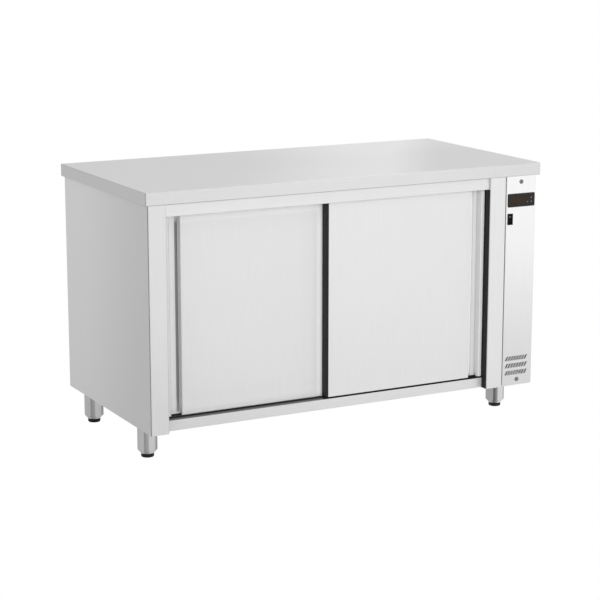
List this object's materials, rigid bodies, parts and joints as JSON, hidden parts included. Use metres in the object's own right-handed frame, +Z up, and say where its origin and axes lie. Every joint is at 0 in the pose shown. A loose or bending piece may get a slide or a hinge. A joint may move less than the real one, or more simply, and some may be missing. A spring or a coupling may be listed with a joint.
{
  "type": "plate warmer cabinet",
  "caption": "Free-standing heated plate cabinet in stainless steel with a worktop, sliding doors with finger channels, a side control bay with a fan heater, and short round feet.",
  "frame": {"origin": "on the floor under the centre of the worktop", "axes": "+X to the right along the front, +Y from the front to the back, +Z up"},
  "size_m": [1.4, 0.7, 0.84],
  "materials": {
    "stainless": "brushed",
    "inner_stainless": "satin",
    "board": "raw",
    "mineral_wool": "matt",
    "black_rubber": "matt",
    "black_plastic": "matt",
    "white_nylon": "matt",
    "controller_plastic": "matt",
    "smoked_window": "gloss",
    "key_grey": "matt",
    "switch_black": "gloss",
    "heater_sheath": "oxidised",
    "motor_paint": "matt",
    "fan_aluminium": "satin"
  },
  "bodies": {
    "cabinet": {"worktop": "stainless", "left_side_panel": "stainless", "right_post": "stainless", "back_panel": "stainless", "base_pan": "stainless", "bottom_rail": "stainless", "top_rail": "stainless", "foot_sleeves": "stainless", "control_cover": "stainless", "control_fascia": "stainless", "fascia_screws": "stainless", "left_lining": "inner_stainless", "right_lining": "inner_stainless", "back_lining": "inner_stainless", "floor_lining": "inner_stainless", "ceiling_lining": "inner_stainless", "door_track": "inner_stainless", "shelf": "inner_stainless", "shelf_uprights": "inner_stainless", "shelf_clips": "inner_stainless", "heater_housing": "inner_stainless", "temperature_probe": "inner_stainless", "safety_cutout": "inner_stainless", "worktop_board": "board", "insulation_slabs": "mineral_wool", "track_stops": "black_rubber", "left_jamb_strip": "black_rubber", "right_jamb_strip": "black_rubber", "door_guide": "black_plastic", "cable_gland": "black_plastic", "rocker_frame": "black_plastic", "terminal_block": "white_nylon", "controller_case": "controller_plastic", "controller_window": "smoked_window", "ring_heater": "heater_sheath", "fan_motor": "motor_paint"},
    "left_door": {"left_door_skin": "stainless", "left_door_liner": "inner_stainless", "left_door_core": "mineral_wool", "left_door_hangers": "inner_stainless", "left_door_guide_shoes": "white_nylon"},
    "right_door": {"right_door_skin": "stainless", "right_door_liner": "inner_stainless", "right_door_core": "mineral_wool", "right_door_hangers": "inner_stainless", "right_door_guide_shoes": "white_nylon", "right_door_edge_strip": "black_rubber"},
    "left_door_outer_roller": {"left_door_outer_roller": "white_nylon"},
    "left_door_inner_roller": {"left_door_inner_roller": "white_nylon"},
    "right_door_outer_roller": {"right_door_outer_roller": "white_nylon"},
    "right_door_inner_roller": {"right_door_inner_roller": "white_nylon"},
    "rocker": {"rocker": "switch_black"},
    "up_key": {"up_key": "key_grey"},
    "down_key": {"down_key": "key_grey"},
    "set_key": {"set_key": "key_grey"},
    "fan_wheel": {"fan_wheel": "fan_aluminium"},
    "front_left_foot": {"front_left_foot": "black_plastic"},
    "front_right_foot": {"front_right_foot": "black_plastic"},
    "back_left_foot": {"back_left_foot": "black_plastic"},
    "back_right_foot": {"back_right_foot": "black_plastic"}
  },
  "joints": [
    {"name": "left_door_slide", "type": "slide", "parent": "cabinet", "child": "left_door", "axis": [-1, 0, 0], "range_m": [-0.478, 0.012]},
    {"name": "right_door_slide", "type": "slide", "parent": "cabinet", "child": "right_door", "axis": [-1, 0, 0], "range_m": [0, 0.49]},
    {"name": "left_door_outer_roller_turn", "type": "hinge", "parent": "left_door", "child": "left_door_outer_roller", "pos_m": [-0.5385, -0.287, 0.7853], "axis": [0, 1, 0], "range_deg": [-77, 3044]},
    {"name": "left_door_inner_roller_turn", "type": "hinge", "parent": "left_door", "child": "left_door_inner_roller", "pos_m": [-0.1115, -0.287, 0.7853], "axis": [0, 1, 0], "range_deg": [-77, 3044]},
    {"name": "right_door_outer_roller_turn", "type": "hinge", "parent": "right_door", "child": "right_door_outer_roller", "pos_m": [0.424, -0.311, 0.7853], "axis": [0, 1, 0], "range_deg": [-3120, 0]},
    {"name": "right_door_inner_roller_turn", "type": "hinge", "parent": "right_door", "child": "right_door_inner_roller", "pos_m": [-0.003, -0.311, 0.7853], "axis": [0, 1, 0], "range_deg": [-3120, 0]},
    {"name": "rocker_tip", "type": "hinge", "parent": "cabinet", "child": "rocker", "pos_m": [0.5875, -0.341, 0.6595], "axis": [1, 0, 0], "range_deg": [0, 18]},
    {"name": "up_key_press", "type": "slide", "parent": "cabinet", "child": "up_key", "axis": [0, 1, 0], "range_m": [0, 0.0012], "stiffness_N_per_m": 400, "springref_m": -0.0005},
    {"name": "down_key_press", "type": "slide", "parent": "cabinet", "child": "down_key", "axis": [0, 1, 0], "range_m": [0, 0.0012], "stiffness_N_per_m": 400, "springref_m": -0.0005},
    {"name": "set_key_press", "type": "slide", "parent": "cabinet", "child": "set_key", "axis": [0, 1, 0], "range_m": [0, 0.0012], "stiffness_N_per_m": 400, "springref_m": -0.0005},
    {"name": "fan_spin", "type": "hinge", "parent": "cabinet", "child": "fan_wheel", "pos_m": [0.53, 0.014, 0.301], "axis": [1, 0, 0], "continuous": true},
    {"name": "front_left_foot_turn", "type": "hinge", "parent": "cabinet", "child": "front_left_foot", "pos_m": [-0.657, -0.23, 0], "axis": [0, 0, 1], "continuous": true},
    {"name": "front_right_foot_turn", "type": "hinge", "parent": "cabinet", "child": "front_right_foot", "pos_m": [0.621, -0.23, 0], "axis": [0, 0, 1], "continuous": true},
    {"name": "back_left_foot_turn", "type": "hinge", "parent": "cabinet", "child": "back_left_foot", "pos_m": [-0.657, 0.215, 0], "axis": [0, 0, 1], "continuous": true},
    {"name": "back_right_foot_turn", "type": "hinge", "parent": "cabinet", "child": "back_right_foot", "pos_m": [0.621, 0.215, 0], "axis": [0, 0, 1], "continuous": true}
  ],
  "couplings": [
    {"joint": "left_door_outer_roller_turn", "follows": "left_door_slide", "rad_per_m": -111.11},
    {"joint": "left_door_inner_roller_turn", "follows": "left_door_slide", "rad_per_m": -111.11},
    {"joint": "right_door_outer_roller_turn", "follows": "right_door_slide", "rad_per_m": -111.11},
    {"joint": "right_door_inner_roller_turn", "follows": "right_door_slide", "rad_per_m": -111.11}
  ]
}
